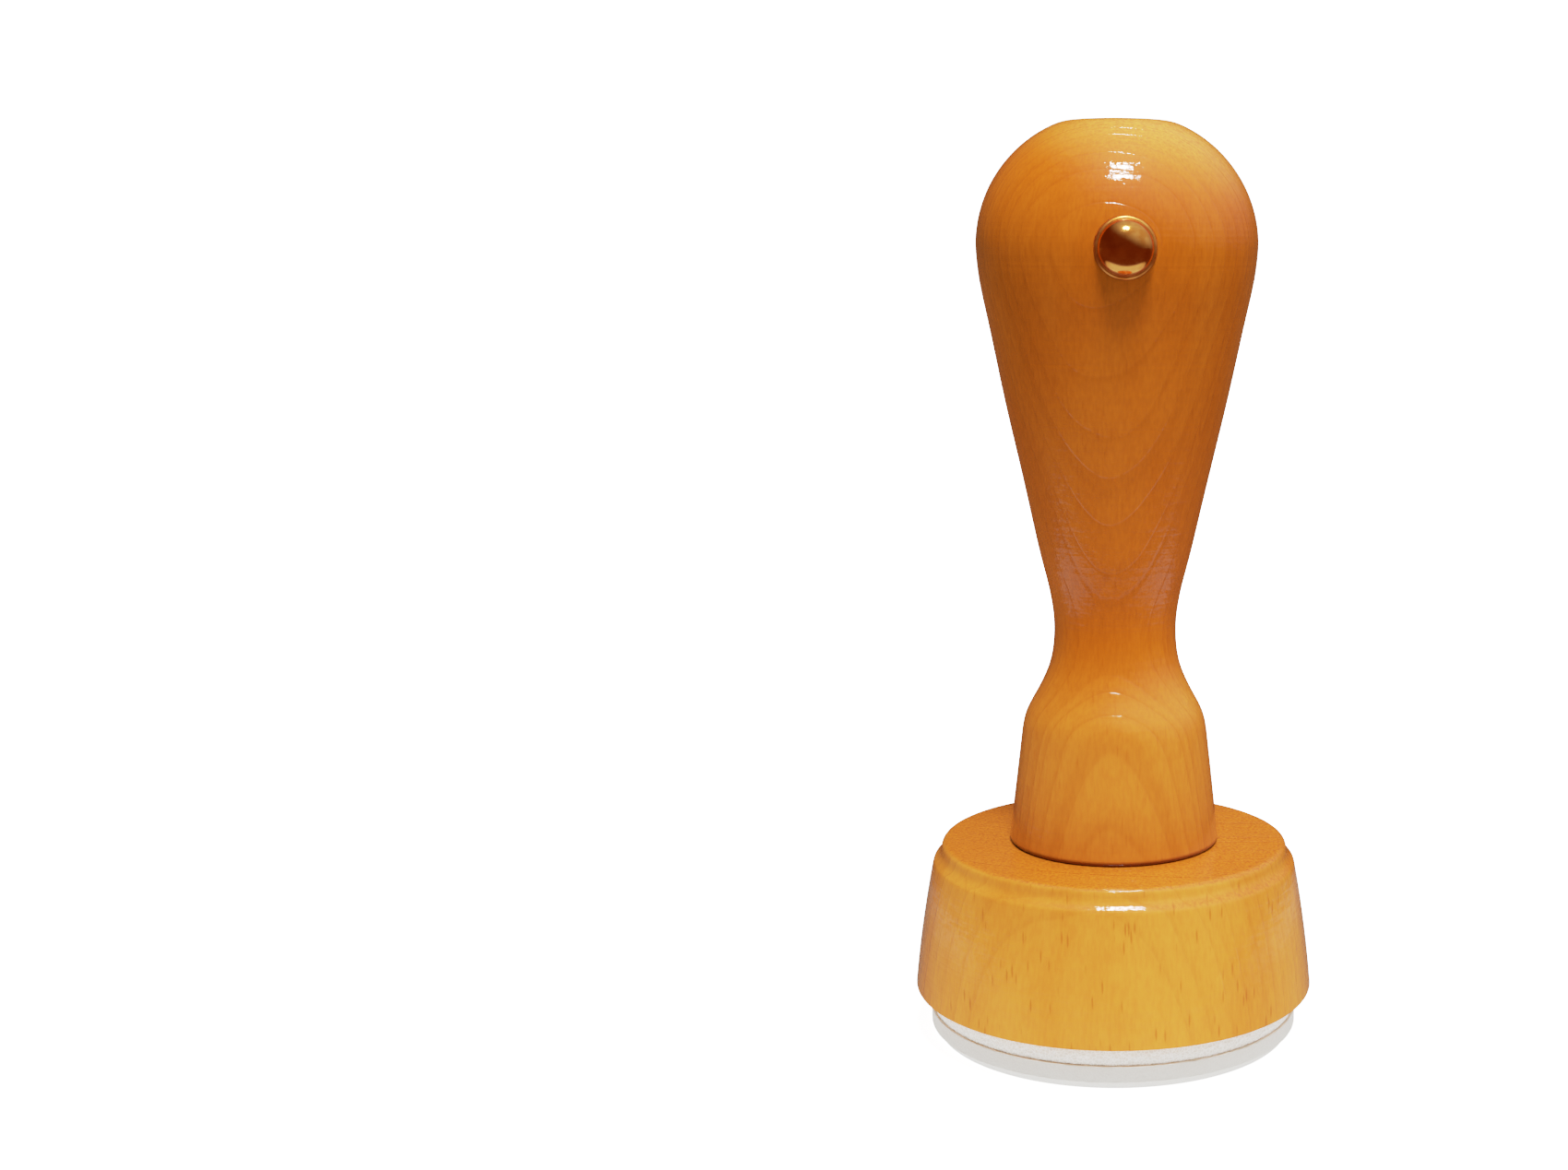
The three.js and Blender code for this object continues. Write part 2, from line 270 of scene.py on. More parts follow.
def lacquered_beech(name, light, dark, late, end_grain_and_shading, painted_light_below, pith, ring_mm, ring_depth,
                    fleck, seam, seed):
    """Clear-lacquered beech, cut with its grain along Z. Growth rings run round a pith behind the
    piece, so they show as long lines, and as ovals where the surface bulges. Rays show as short
    dark ticks on the front and back. ring_depth and fleck say how dark the rings and the ticks
    are. Below the first of the two levels given for it, the wood is painted paler as painted
    light, and palest below the second. seam is the level of a glued joint; just above it the wood
    is painted dark brown as painted shade in the joint. The colour given for the end grain is
    also used to paint light and shade on up-facing surfaces."""
    made, tree = new_material(name)
    in_mm = in_millimetres(tree)
    sample = add(tree, "ShaderNodeVectorMath", {0: in_mm, 1: seed}, operation="ADD").outputs[0]

    # The tree did not grow quite straight: the rings wander by a millimetre or so.
    drift = patches(tree, sample, (0.05, 0.05, 0.016), 2.0, roughness=0.45).outputs["Color"]
    drift = add(tree, "ShaderNodeVectorMath", {0: drift, 1: (0.5, 0.5, 0.5)},
                operation="SUBTRACT").outputs[0]
    wandering = add(tree, "ShaderNodeVectorMath", {0: drift, 1: (3.0, 3.0, 0), 2: in_mm},
                    operation="MULTIPLY_ADD").outputs[0]
    from_pith = add(tree, "ShaderNodeVectorMath", {0: wandering, 1: (*pith, 0)},
                    operation="SUBTRACT").outputs[0]
    level = add(tree, "ShaderNodeVectorMath", {0: from_pith, 1: (1, 1, 0.02)},
                operation="MULTIPLY").outputs[0]
    age = add(tree, "ShaderNodeVectorMath", {0: level}, operation="LENGTH").outputs["Value"]

    # No two years are alike: the ring count is bent by a slow one-dimensional noise.
    year = add(tree, "ShaderNodeMath", {0: age, 1: ring_mm}, operation="DIVIDE").outputs[0]
    season = add(tree, "ShaderNodeTexNoise", {"W": year, "Scale": 0.9, "Detail": 1.0},
                 noise_dimensions="1D").outputs["Fac"]
    year = add(tree, "ShaderNodeMath", {0: season, 1: 1.3, 2: year},
               operation="MULTIPLY_ADD").outputs[0]
    in_year = add(tree, "ShaderNodeMath", {0: year}, operation="FRACT").outputs[0]
    latewood = shade_steps(add(tree, "ShaderNodeValToRGB", {"Fac": in_year}),
                           [(0.0, 0.15), (0.3, 0.0), (0.7, 0.4), (0.93, 1.0), (1.0, 0.15)])
    ring_line = shade_steps(add(tree, "ShaderNodeValToRGB", {"Fac": in_year}),
                            [(0.84, 0.0), (0.93, 1.0), (0.99, 0.0)])

    # Rays: thin plates along the radius (Y), a fifth of a millimetre thick and 1 to 2 mm tall.
    ray_grid = add(tree, "ShaderNodeVectorMath", {0: wandering, 1: (1 / 0.55, 1 / 8, 1 / 3.8)},
                   operation="MULTIPLY").outputs[0]
    ray_distance = add(tree, "ShaderNodeTexVoronoi",
                       {"Vector": ray_grid, "Scale": 1.0, "Randomness": 1.0}).outputs["Distance"]
    rays = shade_steps(add(tree, "ShaderNodeValToRGB", {"Fac": ray_distance}),
                       [(0.1, 1.0), (0.22, 0.0)], "LINEAR")

    # Pores: fine dashes along the grain, drawn about twice as coarse as real ones so they show.
    pores = patches(tree, sample, (1 / 0.3, 1 / 0.3, 1 / 1.6), 3.0, roughness=0.62).outputs["Fac"]
    pore_marks = shade_steps(add(tree, "ShaderNodeValToRGB", {"Fac": pores}),
                             [(0.36, 0.2), (0.64, 0.8)], "LINEAR")

    # Streaks: soft lengthwise changes in colour, 3 to 8 mm wide.
    streak_grid = add(tree, "ShaderNodeVectorMath", {0: wandering, 1: (0.13, 0.13, 0.03)},
                      operation="MULTIPLY").outputs[0]
    streak_grid = add(tree, "ShaderNodeVectorMath", {0: streak_grid, 1: seed},
                      operation="ADD").outputs[0]
    streaks = add(tree, "ShaderNodeTexNoise", {"Vector": streak_grid, "Scale": 1.0, "Detail": 3.0,
                                               "Roughness": 0.5}).outputs["Fac"]
    streak_share = shade_steps(add(tree, "ShaderNodeValToRGB", {"Fac": streaks}),
                               [(0.3, 0.0), (0.7, 1.0)])

    body = add(tree, "ShaderNodeMix", {MIX: streak_share, FIRST: colour(dark), SECOND: colour(light)},
               data_type="RGBA").outputs[MIXED]
    height = add(tree, "ShaderNodeSeparateXYZ", {"Vector": in_mm}).outputs["Z"]
    # Painted light: below the given levels the wood is mixed towards a paler orange, as if the foot and
    # shoulder near the white floor were lit more.
    painted_light_share = add(tree, "ShaderNodeMapRange",
                   {"Value": height, "From Min": painted_light_below[0], "From Max": painted_light_below[1]},
                   interpolation_type="SMOOTHSTEP").outputs["Result"]
    body = add(tree, "ShaderNodeMix", {MIX: painted_light_share, FIRST: body, SECOND: colour("#d5802a")},
               data_type="RGBA").outputs[MIXED]
    ring_share = add(tree, "ShaderNodeMath", {0: latewood, 1: ring_depth},
                     operation="MULTIPLY").outputs[0]
    ringed = add(tree, "ShaderNodeMix", {MIX: ring_share, FIRST: body, SECOND: colour(late)},
                 data_type="RGBA").outputs[MIXED]
    pored = add(tree, "ShaderNodeMix", {MIX: 0.12, FIRST: ringed, SECOND: pore_marks},
                data_type="RGBA", blend_type="OVERLAY").outputs[MIXED]

    # The plates of the rays are cut across on the front and back, where they show as dark ticks.
    normal = add(tree, "ShaderNodeNewGeometry").outputs["Normal"]
    facing = add(tree, "ShaderNodeSeparateXYZ", {"Vector": normal})
    across = add(tree, "ShaderNodeMath", {0: facing.outputs["Y"]}, operation="ABSOLUTE").outputs[0]
    across = shade_steps(add(tree, "ShaderNodeValToRGB", {"Fac": across}), [(0.2, 0.0), (0.7, 1.0)])
    ray_colour = add(tree, "ShaderNodeMix", {MIX: across, FIRST: colour(light), SECOND: colour(late)},
                     data_type="RGBA").outputs[MIXED]
    ray_share = add(tree, "ShaderNodeMath", {0: rays, 1: fleck}, operation="MULTIPLY").outputs[0]
    rayed = add(tree, "ShaderNodeMix", {MIX: ray_share, FIRST: pored, SECOND: ray_colour},
                data_type="RGBA").outputs[MIXED]

    # Up-facing surfaces take the end grain's colour, which is also painted light and shade: on the
    # handle it is paler, as painted top light on the crown, and on the base darker, as painted shade
    # on its top. The mask leans a little to the right, so the painted light and shade are stronger
    # on that side.
    facing_up_and_right = add(tree, "ShaderNodeVectorMath", {0: normal, 1: (0.26, 0, 0.97)},
                    operation="DOT_PRODUCT").outputs["Value"]
    endgrain_and_shading_share = shade_steps(add(tree, "ShaderNodeValToRGB", {"Fac": facing_up_and_right}),
                            [(0.42, 0.0), (1.0, 0.85)])
    wood = add(tree, "ShaderNodeMix", {MIX: endgrain_and_shading_share, FIRST: rayed, SECOND: colour(end_grain_and_shading)},
               data_type="RGBA").outputs[MIXED]
    specks = patches(tree, sample, (1 / 0.28, 1 / 0.28, 1 / 0.6), 2.0, roughness=0.7).outputs["Fac"]
    speck_tone = shade_steps(add(tree, "ShaderNodeValToRGB", {"Fac": specks}),
                             [(0.35, 0.34), (0.65, 0.66)], "LINEAR")
    wood = add(tree, "ShaderNodeMix", {MIX: endgrain_and_shading_share, FIRST: wood, SECOND: speck_tone},
               data_type="RGBA", blend_type="OVERLAY").outputs[MIXED]

    # The bottom edge of the foot, just above the glued joint, is painted dark brown: painted shade of
    # the gap between handle and base.
    painted_seam_shade = add(tree, "ShaderNodeMapRange",
                 {"Value": height, "From Min": seam + 0.3, "From Max": seam + 0.6, "To Min": 0.95,
                  "To Max": 0.0}).outputs["Result"]
    wood = add(tree, "ShaderNodeMix", {MIX: painted_seam_shade, FIRST: wood, SECOND: colour("#6a2a08")},
               data_type="RGBA").outputs[MIXED]

    # Turning marks left under the lacquer: fine rings about the axis, half a millimetre apart.
    marks = add(tree, "ShaderNodeTexNoise", {"W": height, "Scale": 1.9, "Detail": 2.0},
                noise_dimensions="1D").outputs["Fac"]
    relief = add(tree, "ShaderNodeMath", {0: pores, 1: 0.6, 2: marks},
                 operation="MULTIPLY_ADD").outputs[0]
    grain_bump = add(tree, "ShaderNodeBump",
                     {"Height": relief, "Strength": 0.3, "Distance": 0.00004}).outputs["Normal"]

    # The lacquer sinks a little over the hard late wood of each ring, and lies elsewhere as
    # uneven as orange peel, so its highlights break up into arcs.
    peel = patches(tree, in_mm, (0.8, 0.8, 0.8), 3.0).outputs["Fac"]
    grit = patches(tree, sample, (1.7, 1.7, 1.7), 2.0, roughness=0.6).outputs["Fac"]
    film = add(tree, "ShaderNodeMath", {0: grit, 1: 0.8, 2: peel},
               operation="MULTIPLY_ADD").outputs[0]
    film = add(tree, "ShaderNodeMath", {0: relief, 1: 0.4, 2: film},
               operation="MULTIPLY_ADD").outputs[0]
    film = add(tree, "ShaderNodeMath", {0: ring_line, 1: -0.6, 2: film},
               operation="MULTIPLY_ADD").outputs[0]
    coat_bump = add(tree, "ShaderNodeBump",
                    {"Height": film, "Strength": 0.6, "Distance": 0.00008}).outputs["Normal"]
    rough = add(tree, "ShaderNodeMapRange",
                {"Value": pores, "To Min": 0.42, "To Max": 0.6}).outputs["Result"]
    shader = add(tree, "ShaderNodeBsdfPrincipled", {
        "Base Color": wood,
        "Roughness": rough,
        "IOR": 1.45,
        "Specular IOR Level": 0.08,
        "Normal": grain_bump,
        "Coat Weight": 1.0,
        "Coat Roughness": 0.06,
        "Coat IOR": 1.42,
        "Coat Normal": coat_bump,
    })
    add(tree, "ShaderNodeOutputMaterial", {"Surface": shader.outputs[0]})
    return made


waist = [
    (FOOT_TOP_RADIUS, FOOT_HEIGHT),
    *[(NECK_RADIUS + (FOOT_TOP_RADIUS - NECK_RADIUS) * spread,
       FOOT_HEIGHT + (NECK_LEVEL - FOOT_HEIGHT) * rise) for rise, spread in HOLLOW],
    (NECK_RADIUS, NECK_LEVEL),
    *[(NECK_RADIUS + (KNOB_RADIUS - NECK_RADIUS) * spread,
       NECK_LEVEL + (knob_level - NECK_LEVEL) * rise) for rise, spread in SWELL],
    (KNOB_RADIUS, knob_level),
]
dome = arc(dome_centre, knob_level, DOME_ROUND, 0, dome_end, 30)
edge = arc(FOOT_RADIUS - FOOT_EDGE_ROUND, FOOT_EDGE_ROUND, FOOT_EDGE_ROUND, -math.pi / 2, 0, 5)
outside = [edge[-1], *smooth_curve(waist, 12), *dome[1:], (0, HANDLE_HEIGHT)]
outside = sanded(respaced(outside, OUTLINE_STEP), SANDING_PASSES)
inside = [(0, PILOT_TOP), (PILOT_RADIUS, PILOT_TOP - PILOT_TIP), (PILOT_RADIUS, -SPIGOT_LENGTH),
          (SPIGOT_RADIUS - SPIGOT_CHAMFER, -SPIGOT_LENGTH),
          (SPIGOT_RADIUS, SPIGOT_CHAMFER - SPIGOT_LENGTH), (SPIGOT_RADIUS, 0)]
handle = turned("turned_handle", raised([*inside, *edge[:-1], *outside], seat), 160, uneven=0.03)

# The drill leaves a flat spot for the marker's flange and a hole for its nail.
marker_low, marker_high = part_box("marker_head")
nail_low, nail_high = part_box("marker_nail")
marker_level = (marker_low.z + marker_high.z) / 2
FLANGE_RADIUS = (marker_high.x - marker_low.x) / 2 / MM
NAIL_RADIUS = (nail_high.x - nail_low.x) / 2 / MM
SPOT_GAP = 0.03
NAIL_GAP = 0.1


def facing_front(piece, face):
    """Turns a piece made along Z, in its own mesh, so that Z points to the front from this Y."""
    piece.data.transform(Matrix.Translation((0, face, marker_level))
                         @ Matrix.Rotation(math.pi / 2, 4, "X"))
    return piece


def drill(radius, start, end):
    """A drill bit at the marker's level, with its two ends at these places on Y, in metres."""
    reach = (end - start) / MM
    bit = turned("drill", [(0, 0), (radius, 0), (radius, reach), (0, reach)], 64)
    return facing_front(bit, end)


handle = bored(handle, [
    drill(FLANGE_RADIUS + SPOT_GAP, marker_low.y - MM, marker_high.y + SPOT_GAP / 2 * MM),
    drill(NAIL_RADIUS + NAIL_GAP, marker_low.y, nail_high.y + NAIL_GAP * MM),
])
# The handle is painted with light: its end-grain colour is paler, as painted top light on the crown, and
# its foot and shoulder are painted paler below the given levels. Just above the joint the foot is
# painted dark brown as painted shade.
handle.data.materials.append(lacquered_beech(
    "lacquered_beech_handle", light="#cc6d18", dark="#c2620f", late="#a04a06",
    end_grain_and_shading="#d88c30", painted_light_below=(seat + 22, seat + 9), pith=(4, 58), ring_mm=1.05,
    ring_depth=0.2, fleck=0.2, seam=seat, seed=(0, 0, 0)))
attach(handle, "mount")
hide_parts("handle")

# ---------------------------------------------------------------------------------------------
# Marker. A brass dome pressed over a steel nail and hammered into the knob, so that the fingers
# find the front of the stamp. The dome has a thin flange that lies in the flat spot.

FLANGE_RIM = 0.3
FLANGE_THICKNESS = 0.35
FLANGE_CHAMFER = 0.02
NAIL_IN_HEAD = 1.2
NAIL_POINT_LENGTH = 2.0
NAIL_TIP_RADIUS = 0.12
NAIL_TIP_LENGTH = 0.3
NAIL_CHAMFER = 0.1
RING_COUNT = 30  # shallow rings rolled into the shank, that bite into the wood
RING_DEPTH = 0.04
PLAIN_SHANK = 1  # without rings, next to the head

marker_depth = (marker_high.y - marker_low.y) / MM
marker_radius = FLANGE_RADIUS - FLANGE_RIM
marker_rise = marker_depth - FLANGE_THICKNESS
dome_foot = marker_high.y / MM - FLANGE_THICKNESS  # level on Y where the dome meets the flange
nail_length = (nail_high.y - marker_high.y) / MM
bore = NAIL_RADIUS + NAIL_GAP

quarter = arc(0, 0, 1, 0, math.pi / 2, 40)
marker_dome = [(marker_radius * r, FLANGE_THICKNESS + marker_rise * z) for r, z in quarter]
rim = arc(marker_radius, FLANGE_THICKNESS - FLANGE_RIM, FLANGE_RIM, 0, math.pi / 2, 10)
head_outline = [
    (0, NAIL_IN_HEAD + NAIL_GAP), (bore, NAIL_IN_HEAD + NAIL_GAP), (bore, 0),
    (FLANGE_RADIUS - FLANGE_CHAMFER, 0), *rim, *marker_dome[1:-1],
    (0, marker_depth),
]
marker_head = facing_front(turned("brass_marker", head_outline, 96), marker_high.y)


def polished_brass():
    """Brass, stamped, polished and then handled: it mirrors the room warmly and a little softly,
    with hairline scratches and faint brown patches of tarnish."""
    made, tree = new_material("polished_brass")
    in_mm = in_millimetres(tree)
    bloom = add(tree, "ShaderNodeTexNoise",
                {"Vector": in_mm, "Scale": 0.9, "Detail": 4.0}).outputs["Fac"]
    bloom = shade_steps(add(tree, "ShaderNodeValToRGB", {"Fac": bloom}), [(0.35, 0.0), (0.7, 1.0)])
    tone = add(tree, "ShaderNodeMix", {MIX: bloom, FIRST: colour("#e3a254"), SECOND: colour("#cf8438")},
               data_type="RGBA").outputs[MIXED]
    # Polishing hairlines are a few hundredths of a millimetre wide and long across the dome.
    hairs = patches(tree, in_mm, (1.2, 9, 14), 3.0).outputs["Fac"]
    rough = add(tree, "ShaderNodeMapRange", {"Value": hairs, "From Min": 0.3, "From Max": 0.7,
                                             "To Min": 0.06, "To Max": 0.16}).outputs["Result"]
    # The polishing wheel does not reach the flange, which stays duller.
    depth = add(tree, "ShaderNodeSeparateXYZ", {"Vector": in_mm}).outputs["Y"]
    flange = add(tree, "ShaderNodeMapRange", {"Value": depth, "From Min": dome_foot - 0.1,
                                              "From Max": dome_foot, "To Max": 0.3}).outputs["Result"]
    rough = add(tree, "ShaderNodeMath", {0: rough, 1: flange}, operation="ADD").outputs[0]
    bump = add(tree, "ShaderNodeBump",
               {"Height": hairs, "Strength": 0.1, "Distance": 0.00002}).outputs["Normal"]
    shader = add(tree, "ShaderNodeBsdfPrincipled",
                 {"Base Color": tone, "Metallic": 1.0, "Roughness": rough, "Normal": bump})
    add(tree, "ShaderNodeOutputMaterial", {"Surface": shader.outputs[0]})
    return made


marker_head.data.materials.append(polished_brass())
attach(marker_head, "mount")
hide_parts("marker_head")

ringed_length = nail_length - NAIL_POINT_LENGTH - PLAIN_SHANK
shank = [(NAIL_RADIUS - RING_DEPTH * (i % 2),
          NAIL_POINT_LENGTH - nail_length + i / (2 * RING_COUNT) * ringed_length)
         for i in range(2 * RING_COUNT + 1)]
nail_outline = [(0, -nail_length), (NAIL_TIP_RADIUS, NAIL_TIP_LENGTH - nail_length), *shank,
                (NAIL_RADIUS, NAIL_IN_HEAD - NAIL_CHAMFER),
                (NAIL_RADIUS - NAIL_CHAMFER, NAIL_IN_HEAD), (0, NAIL_IN_HEAD)]
marker_nail = facing_front(turned("steel_nail", nail_outline, 48), marker_high.y)


def bright_steel(name, tone, shade):
    """Drawn or zinc-plated steel: a grey metal with darker spots, and with fine level lines that
    run round the screw and along the nail."""
    made, tree = new_material(name)
    in_mm = in_millimetres(tree)
    spots = add(tree, "ShaderNodeTexNoise",
                {"Vector": in_mm, "Scale": 1.3, "Detail": 4.0}).outputs["Fac"]
    spots = shade_steps(add(tree, "ShaderNodeValToRGB", {"Fac": spots}), [(0.4, 0.0), (0.7, 1.0)])
    tint = add(tree, "ShaderNodeMix", {MIX: spots, FIRST: colour(tone), SECOND: colour(shade)},
               data_type="RGBA").outputs[MIXED]
    lines = patches(tree, in_mm, (2, 2, 20), 2.0).outputs["Fac"]
    rough = add(tree, "ShaderNodeMapRange",
                {"Value": lines, "To Min": 0.22, "To Max": 0.45}).outputs["Result"]
    bump = add(tree, "ShaderNodeBump",
               {"Height": lines, "Strength": 0.15, "Distance": 0.00002}).outputs["Normal"]
    shader = add(tree, "ShaderNodeBsdfPrincipled",
                 {"Base Color": tint, "Metallic": 1.0, "Roughness": rough, "Normal": bump})
    add(tree, "ShaderNodeOutputMaterial", {"Surface": shader.outputs[0]})
    return made


marker_nail.data.materials.append(bright_steel("drawn_steel", "#b4b3b0", "#8f8d88"))
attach(marker_nail, "mount")
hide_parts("marker_nail")

# ---------------------------------------------------------------------------------------------
# Base. A round block of beech turned from the same stock as the handle, with a small lip and cove
# round its top edge. The handle's spigot is glued into its socket, and it is lacquered too.

BASE_WALL_TAPER = 1.83
BASE_WALL_BOW = 0.17
BASE_COVE_HEIGHT = 1.85
BASE_COVE_WIDTH = 0.8
BASE_COVE_DEPTH = 0.25
BASE_EDGE_ROUND = 0.5
BASE_RIM_ROUND = 0.15  # the bottom edge is only just broken with sandpaper
SOCKET_RADIUS = 5.2
SOCKET_FLOOR = 5.9
SOCKET_CHAMFER = 0.3
SCREW_HOLE_RADIUS = 2.12
SINK_RADIUS = 3.92
SINK_FLOOR = 2.6
SINK_RIM = 0.4
WALL_STEP = 0.12
WALL_SANDING = 8
TABLE_STEPS = 8
TABLE_MARGIN = 2  # the flat top is worked out from this far inside the lip

base_radius = base_high.x / MM
base_height = (base_high.z - base_low.z) / MM
wall_top = base_height - BASE_COVE_HEIGHT
wall_top_radius = base_radius - BASE_WALL_TAPER
lip_radius = wall_top_radius - BASE_COVE_WIDTH


def bowed(start, end, bulge, steps):
    """Points on a shallow bow between two points, bulging out from the axis if positive."""
    length = math.dist(start, end)
    side = ((end[1] - start[1]) / length, (start[0] - end[0]) / length)
    made = []
    for i in range(steps + 1):
        t = i / steps
        lift = bulge * 4 * t * (1 - t)
        made.append(tuple(start[k] + (end[k] - start[k]) * t + side[k] * lift for k in (0, 1)))
    return made


rim_edge = arc(base_radius - BASE_RIM_ROUND, BASE_RIM_ROUND, BASE_RIM_ROUND, -math.pi / 2, 0, 4)
wall = bowed(rim_edge[-1], (wall_top_radius, wall_top), BASE_WALL_BOW, 32)
lip = arc(lip_radius - BASE_EDGE_ROUND, base_height - BASE_EDGE_ROUND, BASE_EDGE_ROUND,
          0, math.pi / 2, 8)
cove = bowed(wall[-1], lip[0], -BASE_COVE_DEPTH, 12)
table_radius = lip_radius - TABLE_MARGIN
wall_and_lip = [*wall, *cove[1:], *lip[1:], (table_radius, base_height)]
wall_and_lip = sanded(respaced(wall_and_lip, WALL_STEP), WALL_SANDING)
table_top = [(table_radius - i / TABLE_STEPS * (table_radius - FOOT_RADIUS), base_height)
             for i in range(1, TABLE_STEPS + 1)]
base_outline = [
    (SINK_RADIUS, 0), *rim_edge[:-1], *wall_and_lip, *table_top,
    (SOCKET_RADIUS + SOCKET_CHAMFER, base_height), (SOCKET_RADIUS, base_height - SOCKET_CHAMFER),
    (SOCKET_RADIUS, SOCKET_FLOOR), (SCREW_HOLE_RADIUS, SOCKET_FLOOR),
    (SCREW_HOLE_RADIUS, SINK_FLOOR), (SINK_RADIUS, SINK_RIM),
]
base = turned("turned_base", raised(base_outline, base_low.z / MM), 240, closed=True, uneven=0.02)
# The base's end-grain colour is darker, as painted shade on its top.
base.data.materials.append(lacquered_beech(
    "lacquered_beech_base", light="#dd8c33", dark="#d27e28", late="#a0560f",
    end_grain_and_shading="#c26816", painted_light_below=(0, -1), pith=(16, 60), ring_mm=1.4, ring_depth=0.16, fleck=0.5,
    seam=0, seed=(31, 7, 0)))
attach(base, "mount")
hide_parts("base")

# ---------------------------------------------------------------------------------------------
# Screw. A countersunk wood screw of zinc-plated steel with a cross recess. It goes up through
# the base into the spigot and pulls the handle down on its glue. The rubber hides its head.

THREAD_PITCH = 1.8
THREAD_DEPTH = 0.55
THREAD_STEEPNESS = 5  # the ridge takes up 2 / 5 of the pitch
THREAD_START = 4.0  # above the head, where the thread begins to be cut
THREAD_RUN_IN = 2.0
SCREW_POINT_LENGTH = 3.0
SCREW_HEAD_HEIGHT = 2.2
RECESS_SPAN = 3.6
RECESS_WIDTH = 0.8
RECESS_DEPTH = 1.5
DRIVER_ENDS = ((-0.5, 1.08), (RECESS_DEPTH, 0.72))  # level, and width as a share of the recess's
SCREW_RADIUS = 2.0
HEAD_CHAMFER = 0.1
HEAD_EDGE = 0.25  # level of the head's outer edge, where its cone begins

screw_low, screw_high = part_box("assembly_screw")
screw_head_radius = (screw_high.x - screw_low.x) / 2 / MM
screw_length = (screw_high.z - screw_low.z) / MM


def thread_reach(angle, level):
    """Radius of the screw's surface at an angle about it and a level above its head's face."""
    turns = level / THREAD_PITCH - angle / math.tau
    ridge = max(0.0, 1 - abs(turns % 1 - 0.5) * THREAD_STEEPNESS)
    cut_in = min(1.0, max(0.0, (level - SCREW_HEAD_HEIGHT - THREAD_START) / THREAD_RUN_IN))
    core = SCREW_RADIUS - THREAD_DEPTH * cut_in
    narrow = min(1.0, max(0.0, (screw_length - level) / SCREW_POINT_LENGTH))
    return (core + THREAD_DEPTH * ridge * cut_in) * narrow


def threaded(name, segments, step):
    """The whole screw, head down on the stamp's axis, as one closed mesh."""
    bm = bmesh.new()
    bottom = screw_low.z / MM
    rings = [[(screw_head_radius - HEAD_CHAMFER, 0)] * segments,
             [(screw_head_radius, HEAD_CHAMFER)] * segments,
             [(screw_head_radius, HEAD_EDGE)] * segments]
    for k in range(int((screw_length - SCREW_HEAD_HEIGHT) / step)):
        z = SCREW_HEAD_HEIGHT + k * step
        rings.append([(thread_reach(math.tau * i / segments, z), z) for i in range(segments)])
    made = [[bm.verts.new(around_axis(r, math.tau * i / segments, bottom + z))
             for i, (r, z) in enumerate(ring)] for ring in rings]
    tip = bm.verts.new((0, 0, screw_high.z))
    bridge(bm, [*made, [tip]], segments)
    bm.faces.new(list(reversed(made[0])))
    return finished(name, bm)


def blade(turn):
    """One tapered wing pair of the driver that stamps the recess."""
    bm = bmesh.new()
    corners = []
    for depth, share in DRIVER_ENDS:
        half, wide = RECESS_SPAN / 2 * share, RECESS_WIDTH / 2 * share
        for x, y in ((-half, -wide), (half, -wide), (half, wide), (-half, wide)):
            spot = Matrix.Rotation(turn, 3, "Z") @ Vector((x, y, depth))
            corners.append(bm.verts.new(spot * MM + Vector((0, 0, screw_low.z))))
    bm.faces.new([corners[3], corners[2], corners[1], corners[0]])
    bm.faces.new(corners[4:])
    for i in range(4):
        j = (i + 1) % 4
        bm.faces.new([corners[i], corners[j], corners[4 + j], corners[4 + i]])
    return finished("blade", bm)


screw = bored(threaded("wood_screw", 32, 0.15), [blade(0), blade(math.pi / 2)])
screw.data.materials.append(bright_steel("zinc_plated_steel", "#c9c4b4", "#a59d86"))
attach(screw, "mount")
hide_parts("assembly_screw")

# ---------------------------------------------------------------------------------------------
# Adhesive films. Two discs of thin double-sided film, die cut. One holds the cushion to the base
# and the other holds the rubber to the cushion. Only their edges show, as fine milky lines.

FILM_INSET = 0.06  # of the film's two faces; its cut edge stands out a little between them
FILM_BULGE = 0.05
FILM_SEGMENTS = 200


def clear_adhesive():
    """Acrylic adhesive on a polyester film: milky, smooth and slightly tacky-looking."""
    made, tree = new_material("acrylic_adhesive_film")
    in_mm = in_millimetres(tree)
    bubbles = add(tree, "ShaderNodeTexNoise",
                  {"Vector": in_mm, "Scale": 0.6, "Detail": 4.0}).outputs["Fac"]
    haze = shade_steps(add(tree, "ShaderNodeValToRGB", {"Fac": bubbles}), [(0.4, 0.0), (0.65, 1.0)])
    tone = add(tree, "ShaderNodeMix", {MIX: haze, FIRST: colour("#f2efe6"), SECOND: colour("#e2ddcf")},
               data_type="RGBA").outputs[MIXED]
    rough = add(tree, "ShaderNodeMapRange",
                {"Value": bubbles, "To Min": 0.25, "To Max": 0.45}).outputs["Result"]
    shader = add(tree, "ShaderNodeBsdfPrincipled", {
        "Base Color": tone,
        "Roughness": rough,
        "IOR": 1.47,
    })
    add(tree, "ShaderNodeOutputMaterial", {"Surface": shader.outputs[0]})
    return made


film_material = clear_adhesive()
for node, body in (("upper_adhesive_film", "mount"), ("lower_adhesive_film", "die")):
    low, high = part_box(node)
    radius, bottom, top = high.x / MM - FILM_INSET, low.z / MM, high.z / MM
    cut_edge = [(radius, bottom), (radius + FILM_BULGE, (bottom + top) / 2), (radius, top)]
    film_piece = turned(node.replace("adhesive", "tape"), [(0, bottom), *cut_edge, (0, top)],
                        FILM_SEGMENTS, uneven=0.05, patch=0.35)
    film_piece.data.materials.append(film_material)
    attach(film_piece, body)
    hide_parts(node)

